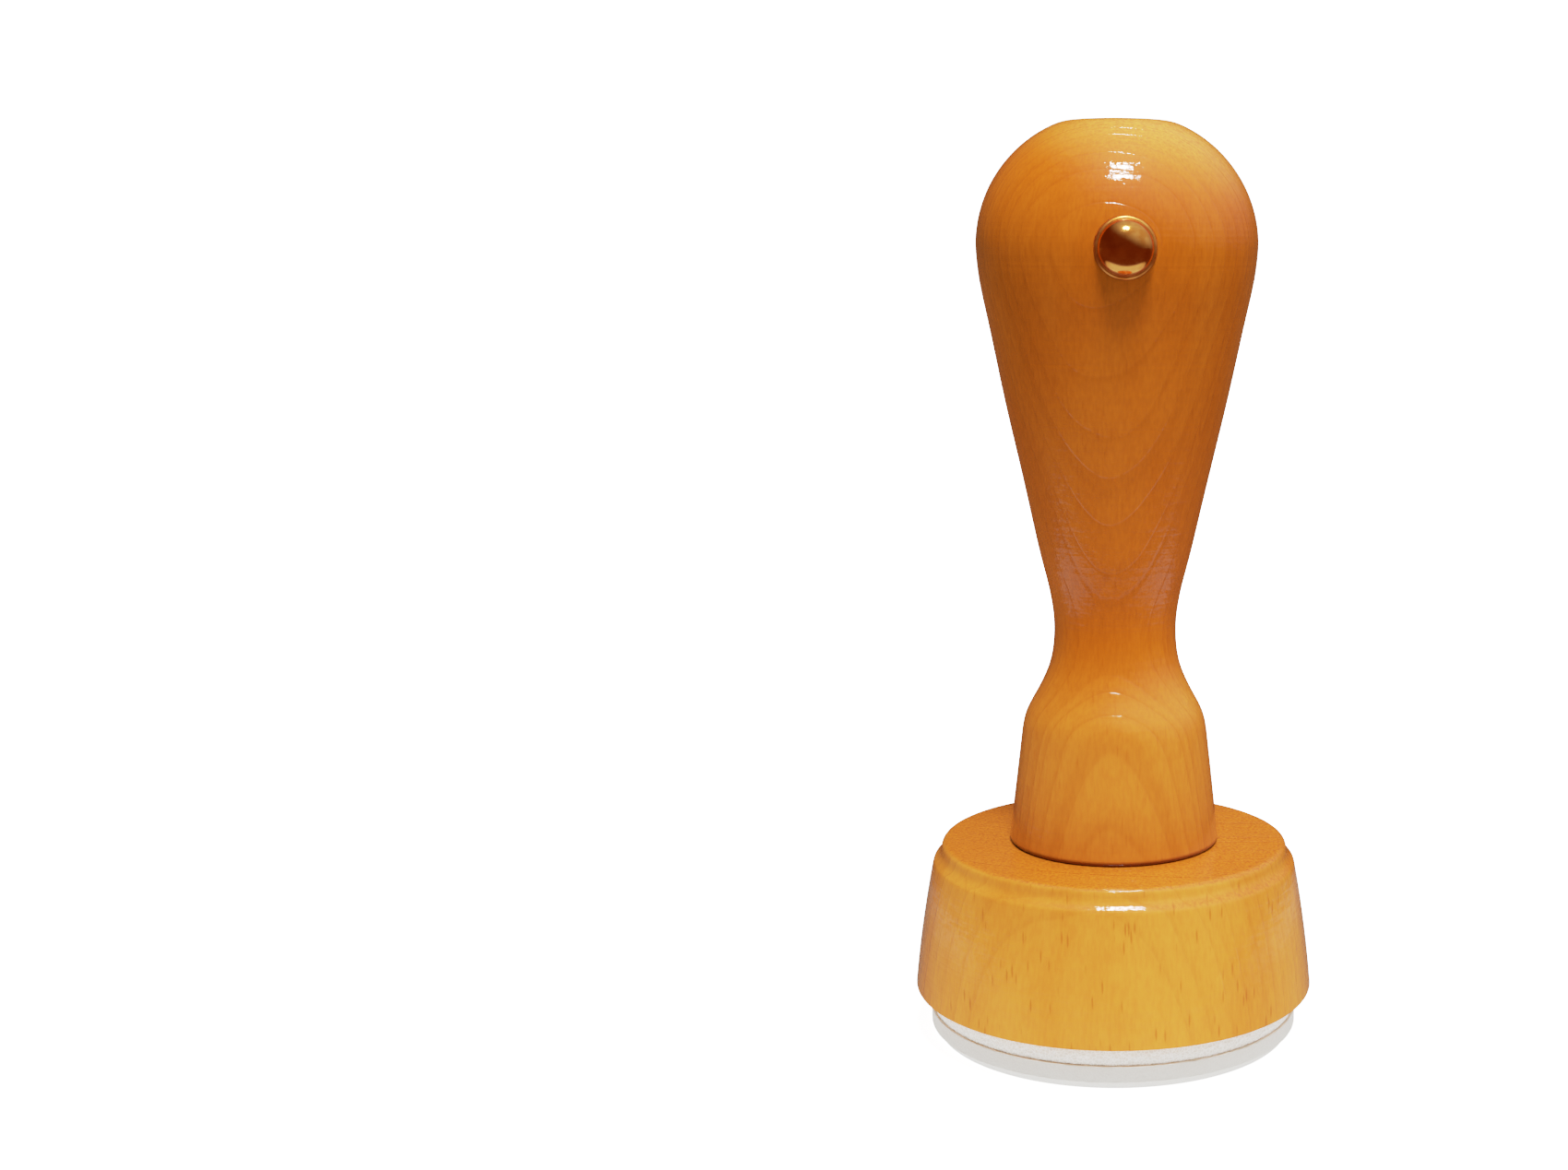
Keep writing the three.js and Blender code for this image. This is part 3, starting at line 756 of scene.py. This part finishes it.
# ---------------------------------------------------------------------------------------------
# Cushion. A disc of white closed-cell polyethylene foam, 2 mm thick, that lets the rubber meet
# the paper evenly. It is die cut, so its edge is a wall of opened cells that bulges a little.

FOAM_STEPS = 18
FOAM_SEGMENTS = 720
FOAM_BULGE = 0.12
FOAM_INSET = 0.1  # leaves room for the uneven cut

foam_low, foam_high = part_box("cushion_foam")
foam_radius = foam_high.x / MM - FOAM_INSET
foam_bottom, foam_top = foam_low.z / MM, foam_high.z / MM
foam_wall = bowed((foam_radius - FOAM_BULGE, foam_bottom), (foam_radius - FOAM_BULGE, foam_top),
                  FOAM_BULGE, FOAM_STEPS)
foam = turned("foam_cushion", [(0, foam_bottom), *foam_wall, (0, foam_top)], FOAM_SEGMENTS,
              uneven=0.07, patch=3.2)


def cell_foam():
    """Closed-cell foam: white and soft, with the cut cells as pits a third of a millimetre wide."""
    made, tree = new_material("polyethylene_foam")
    in_mm = in_millimetres(tree)
    cells = add(tree, "ShaderNodeTexVoronoi", {"Vector": in_mm, "Scale": 3.0},
                feature="DISTANCE_TO_EDGE").outputs["Distance"]
    walls = shade_steps(add(tree, "ShaderNodeValToRGB", {"Fac": cells}), [(0.0, 1.0), (0.16, 0.0)])
    # The cut cells are painted a little darker inside than at their walls: painted shade in the pits.
    tone = add(tree, "ShaderNodeMix", {MIX: walls, FIRST: colour("#dedbd2"), SECOND: colour("#f4f2ec")},
               data_type="RGBA").outputs[MIXED]
    bump = add(tree, "ShaderNodeBump", {"Height": cells, "Strength": 0.5, "Distance": 0.0001},
               invert=True).outputs["Normal"]
    rough = add(tree, "ShaderNodeMapRange",
                {"Value": walls, "To Min": 0.9, "To Max": 0.7}).outputs["Result"]
    shader = add(tree, "ShaderNodeBsdfPrincipled", {
        "Base Color": tone,
        "Roughness": rough,
        "IOR": 1.5,
        "Subsurface Weight": 0.2,
        "Subsurface Radius": (1.0, 1.0, 0.9),
        "Subsurface Scale": 0.0008,
        "Normal": bump,
    })
    add(tree, "ShaderNodeOutputMaterial", {"Surface": shader.outputs[0]})
    return made


foam.data.materials.append(cell_foam())
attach(foam, "mount")
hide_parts("cushion_foam")
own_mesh(foam)

# ---------------------------------------------------------------------------------------------
# Rubber die. Laser-engraved natural rubber, 2.3 mm thick, with a plain pattern of rings, dots and
# a rosette standing 0.8 mm proud. The laser leaves sloping shoulders and a matt, pitted floor.

RELIEF_DEPTH = 0.8
RELIEF_SHOULDER = 0.25
DIE_RINGS = ((17.8, 0.7), (16.4, 0.35), (13.25, 0.35))  # outer radius and width of each
DOT_CIRCLE = 14.65
DOT_COUNT = 24
DOT_RADIUS = 0.65
PETAL_COUNT = 8
PETAL_ENDS = (3.0, 12.0)
PETAL_WIDTH = 3.2
HUB_RADIUS = 2.2
DIE_SEGMENTS = 560
DIE_STEP = 0.16
DIE_MARGIN = 0.03  # the engraved face ends this far inside the cut edge
DIE_CUT_STEPS = 10
DIE_CUT_INSET = 0.04
DIE_CUT_ROUGHNESS = 0.03
DIE_CLOSEST = 0.02  # no ring of vertices lies nearer to the face's last one
CUT_PATCH = 1.7  # how many times a millimetre the cut edge wanders
CUT_STRETCH = 0.3  # and it does so less down the wall, where the cutter ran
PIT_DEPTH = 0.05  # of the floor, where the laser burnt the rubber away
PIT_PATCH = 2.4  # pits to the millimetre

die_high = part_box("rubber_die")[1]
die_radius = die_high.x / MM
die_top = die_high.z / MM
petal_middle = sum(PETAL_ENDS) / 2
petal_half = (PETAL_ENDS[1] - PETAL_ENDS[0]) / 2
petal_side = (petal_half ** 2 + (PETAL_WIDTH / 2) ** 2) / PETAL_WIDTH
petal_offset = petal_side - PETAL_WIDTH / 2


def from_nearest(angle, count):
    """The angle from the nearest of this many equal shapes set round a circle."""
    turn = math.tau / count
    return (angle + turn / 2) % turn - turn / 2


def beyond_print(r, angle):
    """How far a spot lies outside the nearest printing shape, in mm; negative inside one."""
    from_rings = [abs(r - outer + width / 2) - width / 2 for outer, width in DIE_RINGS]
    off = from_nearest(angle, DOT_COUNT)
    from_dot = math.hypot(r * math.cos(off) - DOT_CIRCLE, r * math.sin(off)) - DOT_RADIUS
    off = from_nearest(angle, PETAL_COUNT)
    x, y = r * math.cos(off) - petal_middle, abs(r * math.sin(off))
    from_petal = math.hypot(x, y + petal_offset) - petal_side
    return min(r - HUB_RADIUS, *from_rings, from_dot, from_petal)


def engraved(name):
    """The die as one closed mesh: a finely divided engraved face, a cut edge and a flat back."""
    bm = bmesh.new()
    radii = {round(i * DIE_STEP, 4) for i in range(2, int(die_radius / DIE_STEP) + 1)}
    for outer, width in DIE_RINGS:
        edges = {outer, outer - width, outer + RELIEF_SHOULDER, outer - width - RELIEF_SHOULDER}
        radii -= {r for r in radii if any(abs(r - e) < DIE_STEP / 2 for e in edges)}
        radii |= edges
    face_end = die_radius - DIE_MARGIN
    rings = []
    for r in [*sorted(r for r in radii if r < face_end - DIE_CLOSEST), face_end]:
        ring = []
        for i in range(DIE_SEGMENTS):
            a = math.tau * i / DIE_SEGMENTS
            share = min(1.0, max(0.0, beyond_print(r, a) / RELIEF_SHOULDER))
            spot = Vector((r * math.cos(a), r * math.sin(a), 0))
            pit = PIT_DEPTH * noise.noise(spot * PIT_PATCH) * share
            ring.append(bm.verts.new(around_axis(r, a, RELIEF_DEPTH * share + pit)))
        rings.append(ring)
    for k in range(1, DIE_CUT_STEPS + 1):
        z = RELIEF_DEPTH + (die_top - RELIEF_DEPTH) * k / DIE_CUT_STEPS
        ring = []
        for i in range(DIE_SEGMENTS):
            a = math.tau * i / DIE_SEGMENTS
            spot = Vector((die_radius * math.cos(a), die_radius * math.sin(a), z * CUT_STRETCH))
            r = die_radius - DIE_CUT_INSET + DIE_CUT_ROUGHNESS * noise.noise(spot * CUT_PATCH)
            ring.append(bm.verts.new(around_axis(r, a, z)))
        rings.append(ring)
    middle = bm.verts.new((0, 0, 0))
    back = bm.verts.new((0, 0, die_top * MM))
    bridge(bm, [[middle], *rings, [back]], DIE_SEGMENTS)
    return finished(name, bm, crease_degrees=40)


def engraving_rubber():
    """Natural rubber, smooth and half matt where it prints, chalky and pitted where the laser cut
    it away. The pits are a tenth of a millimetre wide, drawn twice as coarse so they show."""
    made, tree = new_material("natural_rubber")
    in_mm = in_millimetres(tree)
    height = add(tree, "ShaderNodeSeparateXYZ", {"Vector": in_mm}).outputs["Z"]
    burnt = add(tree, "ShaderNodeMapRange",
                {"Value": height, "From Min": 0.05, "From Max": 0.5}).outputs["Result"]
    mottle = add(tree, "ShaderNodeTexNoise",
                 {"Vector": in_mm, "Scale": 0.5, "Detail": 5.0}).outputs["Fac"]
    grain = add(tree, "ShaderNodeTexNoise",
                {"Vector": in_mm, "Scale": 4.5, "Detail": 3.0}).outputs["Fac"]
    face = add(tree, "ShaderNodeMix", {MIX: mottle, FIRST: colour("#d6d3cc"), SECOND: colour("#dfddd7")},
               data_type="RGBA").outputs[MIXED]
    floor_tone = add(tree, "ShaderNodeMix",
                     {MIX: grain, FIRST: colour("#cdcac3"), SECOND: colour("#dedbd4")},
                     data_type="RGBA").outputs[MIXED]
    tone = add(tree, "ShaderNodeMix", {MIX: burnt, FIRST: face, SECOND: floor_tone},
               data_type="RGBA").outputs[MIXED]
    rough = add(tree, "ShaderNodeMapRange",
                {"Value": burnt, "To Min": 0.48, "To Max": 0.85}).outputs["Result"]
    bump = add(tree, "ShaderNodeBump",
               {"Height": grain, "Strength": 0.35, "Distance": 0.00008}).outputs["Normal"]
    shader = add(tree, "ShaderNodeBsdfPrincipled",
                 {"Base Color": tone, "Roughness": rough, "IOR": 1.52, "Normal": bump})
    add(tree, "ShaderNodeOutputMaterial", {"Surface": shader.outputs[0]})
    return made


die = engraved("engraved_rubber")
die.data.materials.append(engraving_rubber())
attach(die, "die")
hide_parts("rubber_die")

# ---------------------------------------------------------------------------------------------
# Studio. A white floor and surroundings, a small softbox high in front, a wide panel high on the
# right, a weak fill, a brown room that only the lacquer and the brass mirror, and the camera a
# little to the left, looking slightly down.

FLOOR_SIZE = 6.0
KEY_ELEVATION = math.radians(67)
KEY_AZIMUTH = math.radians(5)
KEY_DISTANCE = 0.5
KEY_SIZE = (0.11, 0.085)
KEY_POWER = 4.35
PANEL_ELEVATION = math.radians(68)
PANEL_AZIMUTH = math.radians(75)
PANEL_DISTANCE = 0.8
PANEL_SIZE = (1.0, 1.0)
PANEL_POWER = 5.5
WORLD_FILL = 0.17
BACKDROP = 6.0  # far over white, as the camera sees it
PAPER_GLARE = (3.3, 6.0)  # the same for the floor: under the stamp, and further off
GLARE_EDGE = (0.05, 0.2)  # the one turns into the other between these distances
# The floor's glow is painted bounce light, and what the lacquer and the brass see of it is a painted
# reflection.
PAPER_GLOW = (2.4, 0.1)  # what the paper throws on the stamp: close to it, and beyond the lit patch
PAPER_EDGE = (0.035, 0.16)  # the light on the paper fades out between these distances
PAPER_MIRRORED = (0.15, 1.0)  # of the paper in lacquer and brass: close to it, and higher up
MIRRORED_REACH = (0.055, 0.075)  # and the lengths of path that count as close and as higher up
SHEET_EDGE = (0.05, 0.065)  # the mirrored paper ends here, and the brown table begins
SHEET_SHAPE = (0.55, 1, 0)  # it reaches further to the sides than to the front
CEILING_MIRRORED = 0.9
CEILING_LEAN = (0.5, 0, 0.87)  # the ceiling is brightest to the right
ROOM_BROWN = "#74381a"  # the room in front, as the lacquer and the brass mirror it
ROOM_BEHIND = "#8a5636"  # and behind the stamp, where it lights the edges
ROOM_DEPTH = (0.05, 0.4)  # the table's colour goes from the one to the other between these places

floor_mesh = bpy.data.meshes.new("floor")
half = FLOOR_SIZE / 2
floor_mesh.from_pydata([(-half, -half, 0), (half, -half, 0), (half, half, 0), (-half, half, 0)],
                       [], [(0, 1, 2, 3)])
floor = bpy.data.objects.new("floor", floor_mesh)
bpy.context.scene.collection.objects.link(floor)

# The floor is overexposed to plain white. It does not reflect the lamps onto the stamp but glows:
# painted bounce light, strongest in the patch around the stamp and fading out further off. In the
# lacquer and the brass it shows a painted reflection instead, which ends sooner.
floor_paint, tree = new_material("white_paper_floor")
place = add(tree, "ShaderNodeTexCoord").outputs["Object"]
away = add(tree, "ShaderNodeVectorMath", {0: place}, operation="LENGTH").outputs["Value"]
glow = add(tree, "ShaderNodeMapRange",
           {"Value": away, "From Min": PAPER_EDGE[0], "From Max": PAPER_EDGE[1],
            "To Min": PAPER_GLOW[0], "To Max": PAPER_GLOW[1]}).outputs["Result"]
painted_bounce_glow = add(tree, "ShaderNodeEmission", {"Strength": glow}).outputs[0]
path = add(tree, "ShaderNodeLightPath")
# Painted reflection: glossy rays see the floor glow as a white sheet near the stamp and a brown table
# beyond it.
sheet = add(tree, "ShaderNodeVectorMath", {0: place, 1: SHEET_SHAPE}, operation="MULTIPLY").outputs[0]
sheet = add(tree, "ShaderNodeVectorMath", {0: sheet}, operation="LENGTH").outputs["Value"]
beyond = add(tree, "ShaderNodeMapRange",
             {"Value": sheet, "From Min": SHEET_EDGE[0], "From Max": SHEET_EDGE[1]}).outputs["Result"]
depth = add(tree, "ShaderNodeSeparateXYZ", {"Vector": place}).outputs["Y"]
depth = add(tree, "ShaderNodeMapRange",
            {"Value": depth, "From Min": ROOM_DEPTH[0], "From Max": ROOM_DEPTH[1]}).outputs["Result"]
table = add(tree, "ShaderNodeMix", {MIX: depth, FIRST: colour(ROOM_BROWN), SECOND: colour(ROOM_BEHIND)},
            data_type="RGBA").outputs[MIXED]
table = add(tree, "ShaderNodeMix", {MIX: beyond, FIRST: colour("#ffffff"), SECOND: table},
            data_type="RGBA").outputs[MIXED]
reach = add(tree, "ShaderNodeMapRange",
            {"Value": path.outputs["Ray Length"], "From Min": MIRRORED_REACH[0],
             "From Max": MIRRORED_REACH[1], "To Min": PAPER_MIRRORED[0],
             "To Max": PAPER_MIRRORED[1]}).outputs["Result"]
mirrored = add(tree, "ShaderNodeEmission", {"Color": table, "Strength": reach}).outputs[0]
paper = add(tree, "ShaderNodeBsdfDiffuse", {"Color": colour("#f2f1ee")}).outputs[0]
glare = add(tree, "ShaderNodeMapRange",
            {"Value": away, "From Min": GLARE_EDGE[0], "From Max": GLARE_EDGE[1],
             "To Min": PAPER_GLARE[0], "To Max": PAPER_GLARE[1]}).outputs["Result"]
glare = add(tree, "ShaderNodeEmission", {"Strength": glare}).outputs[0]
seen = add(tree, "ShaderNodeAddShader", {0: paper, 1: glare}).outputs[0]
lit = add(tree, "ShaderNodeMixShader",
          {0: path.outputs["Is Glossy Ray"], 1: painted_bounce_glow, 2: mirrored}).outputs[0]
lit = add(tree, "ShaderNodeMixShader", {0: path.outputs["Is Camera Ray"], 1: lit, 2: seen}).outputs[0]
# From below the floor is clear, so that the engraved face can be seen.
below = add(tree, "ShaderNodeNewGeometry").outputs["Backfacing"]
clear = add(tree, "ShaderNodeBsdfTransparent").outputs[0]
lit = add(tree, "ShaderNodeMixShader", {0: below, 1: lit, 2: clear}).outputs[0]
add(tree, "ShaderNodeOutputMaterial", {"Surface": lit})
floor.data.materials.append(floor_paint)

world = bpy.data.worlds.new("studio")
bpy.context.scene.world = world
world.use_nodes = True
tree = world.node_tree
tree.nodes.clear()
path = add(tree, "ShaderNodeLightPath")
fill = add(tree, "ShaderNodeBackground", {"Strength": WORLD_FILL}).outputs[0]
direction = add(tree, "ShaderNodeTexCoord").outputs["Generated"]
upward = add(tree, "ShaderNodeVectorMath", {0: direction, 1: CEILING_LEAN},
             operation="DOT_PRODUCT").outputs["Value"]
ceiling = add(tree, "ShaderNodeMapRange", {"Value": upward, "From Min": 0.3, "From Max": 1.0},
              interpolation_type="SMOOTHSTEP").outputs["Result"]
behind = add(tree, "ShaderNodeSeparateXYZ", {"Vector": direction}).outputs["Y"]
behind = add(tree, "ShaderNodeMapRange", {"Value": behind, "From Min": 0.3},
             interpolation_type="SMOOTHSTEP").outputs["Result"]
walls = add(tree, "ShaderNodeMix", {MIX: behind, FIRST: colour(ROOM_BROWN), SECOND: colour(ROOM_BEHIND)},
            data_type="RGBA").outputs[MIXED]
room_tone = add(tree, "ShaderNodeMix", {MIX: ceiling, FIRST: walls, SECOND: colour("#ffffff")},
                data_type="RGBA").outputs[MIXED]
room = add(tree, "ShaderNodeBackground",
           {"Color": room_tone, "Strength": CEILING_MIRRORED}).outputs[0]
backdrop = add(tree, "ShaderNodeBackground", {"Strength": BACKDROP}).outputs[0]
around = add(tree, "ShaderNodeMixShader",
             {0: path.outputs["Is Glossy Ray"], 1: fill, 2: room}).outputs[0]
around = add(tree, "ShaderNodeMixShader",
             {0: path.outputs["Is Camera Ray"], 1: around, 2: backdrop}).outputs[0]
add(tree, "ShaderNodeOutputWorld", {"Surface": around})


def softbox(name, azimuth, elevation, distance, size, power, target):
    """A flat area light that looks at the target from an azimuth to the right of the front."""
    light = bpy.data.lights.new(name, "AREA")
    light.shape = "RECTANGLE"
    light.size, light.size_y = size
    light.energy = power
    lamp = bpy.data.objects.new(name, light)
    away = Vector((math.sin(azimuth) * math.cos(elevation),
                   -math.cos(azimuth) * math.cos(elevation), math.sin(elevation)))
    lamp.location = target + away * distance
    lamp.rotation_euler = away.to_track_quat("Z", "Y").to_euler()
    lamp.visible_camera = False
    bpy.context.scene.collection.objects.link(lamp)
    return lamp


knob_spot = Vector((0, 0, marker_level))
softbox("key_softbox", KEY_AZIMUTH, KEY_ELEVATION, KEY_DISTANCE, KEY_SIZE, KEY_POWER, knob_spot)
panel = softbox("ceiling_panel", PANEL_AZIMUTH, PANEL_ELEVATION, PANEL_DISTANCE, PANEL_SIZE,
                PANEL_POWER, knob_spot)
panel.visible_glossy = False  # the room's own ceiling is what shows in the lacquer

CAMERA_AZIMUTH = math.radians(-3.39)
CAMERA_DISTANCE = 0.2078  # level distance from the stamp's axis
CAMERA_HEIGHT = 0.080
CAMERA_PITCH = math.radians(9.5)
CAMERA_ROLL = math.radians(-0.28)  # the camera wasn't held quite level

camera_data = bpy.data.cameras.new("camera")
camera_data.sensor_width = 36
camera_data.lens = 48.8
camera_data.shift_x = -0.2123
camera_data.shift_y = -0.0003
camera_data.clip_start = 0.01
camera_data.clip_end = 20
camera = bpy.data.objects.new("camera", camera_data)
camera.location = (math.sin(CAMERA_AZIMUTH) * CAMERA_DISTANCE,
                   -math.cos(CAMERA_AZIMUTH) * CAMERA_DISTANCE, CAMERA_HEIGHT)
camera.rotation_euler = (math.pi / 2 - CAMERA_PITCH, CAMERA_ROLL, CAMERA_AZIMUTH)
bpy.context.scene.collection.objects.link(camera)
bpy.context.scene.camera = camera

# The camera's response: straight in the shadows and middle tones, rolling off to white.
view = bpy.context.scene.view_settings
view.view_transform = "Standard"
view.look = "None"
view.use_curve_mapping = True
response = view.curve_mapping
response.white_level = (4, 4, 4)
response.tone = "STANDARD"
whole = response.curves[3]
whole.points[0].location = (0, 0)
whole.points[1].location = (1, 1)
for light_in, light_out in ((0.05, 0.2), (0.11, 0.43), (0.175, 0.6), (0.25, 0.71), (0.375, 0.8),
                            (0.625, 0.91)):
    whole.points.new(light_in, light_out)
response.update()
